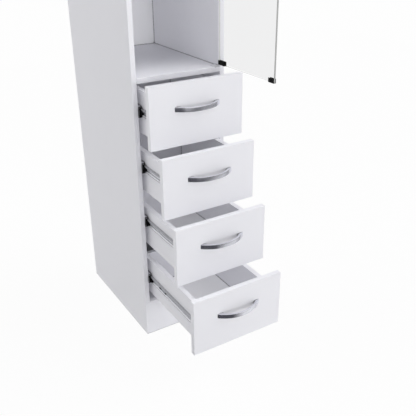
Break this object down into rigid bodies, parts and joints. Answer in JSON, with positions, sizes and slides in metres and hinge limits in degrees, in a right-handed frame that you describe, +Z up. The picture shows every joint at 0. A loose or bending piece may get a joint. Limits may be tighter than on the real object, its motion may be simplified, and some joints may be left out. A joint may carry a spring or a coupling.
{
  "type": "linen cabinet",
  "caption": "Narrow tall white cabinet with a pivot-hung glass door over a shelved compartment and bow-handled drawers on telescopic slides below.",
  "frame": {"origin": "on the floor, at the middle of the cabinet's back plane", "axes": "+Z up, +Y towards the wall behind the cabinet, +X to the right seen from the front"},
  "size_m": [0.305, 0.802, 1.65],
  "materials": {
    "carcass_board": "smooth white laminate",
    "front_board": "smooth white lacquer",
    "drawer_board": "matt white foil",
    "thin_sheet": "white faced hardboard",
    "dowel_wood": "raw beech",
    "slide_steel": "zinc plated, satin",
    "slide_plastic": "black moulded",
    "nickel": "brushed nickel",
    "glass": "clear, polished edges",
    "black_metal": "matt black",
    "pin_steel": "nickel plated",
    "pale_plastic": "white moulded"
  },
  "bodies": {
    "carcass": {"side_panel_left": "carcass_board", "side_panel_right": "carcass_board", "top_panel": "carcass_board", "fixed_shelf": "carcass_board", "bottom_panel": "carcass_board", "plinth_front": "carcass_board", "plinth_rear": "carcass_board", "back_panel": "thin_sheet", "wall_rail": "carcass_board", "loose_shelf_low": "carcass_board", "loose_shelf_high": "carcass_board", "shelf_pins": "pin_steel", "dowels": "dowel_wood", "cabinet_rails": "slide_steel", "rail_stops": "slide_plastic", "latch_body": "pale_plastic", "pivot_plates": "pale_plastic", "pivot_bushes": "pale_plastic"},
    "door": {"door_glass": "glass", "hinge_clamp_low": "black_metal", "hinge_clamp_high": "black_metal", "corner_clips": "black_metal"},
    "latch_plunger": {"latch_plunger": "pale_plastic"},
    "drawer_1": {"drawer_1_front": "front_board", "drawer_1_side_left": "drawer_board", "drawer_1_side_right": "drawer_board", "drawer_1_back": "drawer_board", "drawer_1_bottom": "thin_sheet", "drawer_1_handle": "nickel", "drawer_1_rails": "slide_steel"},
    "mid_1": {"mid_rails_1": "slide_steel", "rail_ends_1": "slide_plastic"},
    "drawer_2": {"drawer_2_front": "front_board", "drawer_2_side_left": "drawer_board", "drawer_2_side_right": "drawer_board", "drawer_2_back": "drawer_board", "drawer_2_bottom": "thin_sheet", "drawer_2_handle": "nickel", "drawer_2_rails": "slide_steel"},
    "mid_2": {"mid_rails_2": "slide_steel", "rail_ends_2": "slide_plastic"},
    "drawer_3": {"drawer_3_front": "front_board", "drawer_3_side_left": "drawer_board", "drawer_3_side_right": "drawer_board", "drawer_3_back": "drawer_board", "drawer_3_bottom": "thin_sheet", "drawer_3_handle": "nickel", "drawer_3_rails": "slide_steel"},
    "mid_3": {"mid_rails_3": "slide_steel", "rail_ends_3": "slide_plastic"},
    "drawer_4": {"drawer_4_front": "front_board", "drawer_4_side_left": "drawer_board", "drawer_4_side_right": "drawer_board", "drawer_4_back": "drawer_board", "drawer_4_bottom": "thin_sheet", "drawer_4_handle": "nickel", "drawer_4_rails": "slide_steel"},
    "mid_4": {"mid_rails_4": "slide_steel", "rail_ends_4": "slide_plastic"}
  },
  "joints": [
    {"name": "drawer_1_slide", "type": "slide", "parent": "carcass", "child": "drawer_1", "axis": [0, -1, 0], "range_m": [-0.082, 0.258]},
    {"name": "mid_1_slide", "type": "slide", "parent": "carcass", "child": "mid_1", "axis": [0, -1, 0], "range_m": [-0.041, 0.129]},
    {"name": "drawer_2_slide", "type": "slide", "parent": "carcass", "child": "drawer_2", "axis": [0, -1, 0], "range_m": [-0.146, 0.194]},
    {"name": "mid_2_slide", "type": "slide", "parent": "carcass", "child": "mid_2", "axis": [0, -1, 0], "range_m": [-0.073, 0.097]},
    {"name": "drawer_3_slide", "type": "slide", "parent": "carcass", "child": "drawer_3", "axis": [0, -1, 0], "range_m": [-0.21, 0.13]},
    {"name": "mid_3_slide", "type": "slide", "parent": "carcass", "child": "mid_3", "axis": [0, -1, 0], "range_m": [-0.105, 0.065]},
    {"name": "drawer_4_slide", "type": "slide", "parent": "carcass", "child": "drawer_4", "axis": [0, -1, 0], "range_m": [-0.3, 0.04]},
    {"name": "mid_4_slide", "type": "slide", "parent": "carcass", "child": "mid_4", "axis": [0, -1, 0], "range_m": [-0.15, 0.02]},
    {"name": "door_hinge", "type": "hinge", "parent": "carcass", "child": "door", "pos_m": [0.1342, -0.462, 1.254], "axis": [0, 0, 1], "range_deg": [-90, 20]},
    {"name": "latch_plunger_slide", "type": "slide", "parent": "carcass", "child": "latch_plunger", "axis": [0, -1, 0], "range_m": [0, 0.012]}
  ],
  "couplings": [
    {"joint": "mid_1_slide", "follows": "drawer_1_slide", "ratio": 0.5},
    {"joint": "mid_2_slide", "follows": "drawer_2_slide", "ratio": 0.5},
    {"joint": "mid_3_slide", "follows": "drawer_3_slide", "ratio": 0.5},
    {"joint": "mid_4_slide", "follows": "drawer_4_slide", "ratio": 0.5}
  ]
}
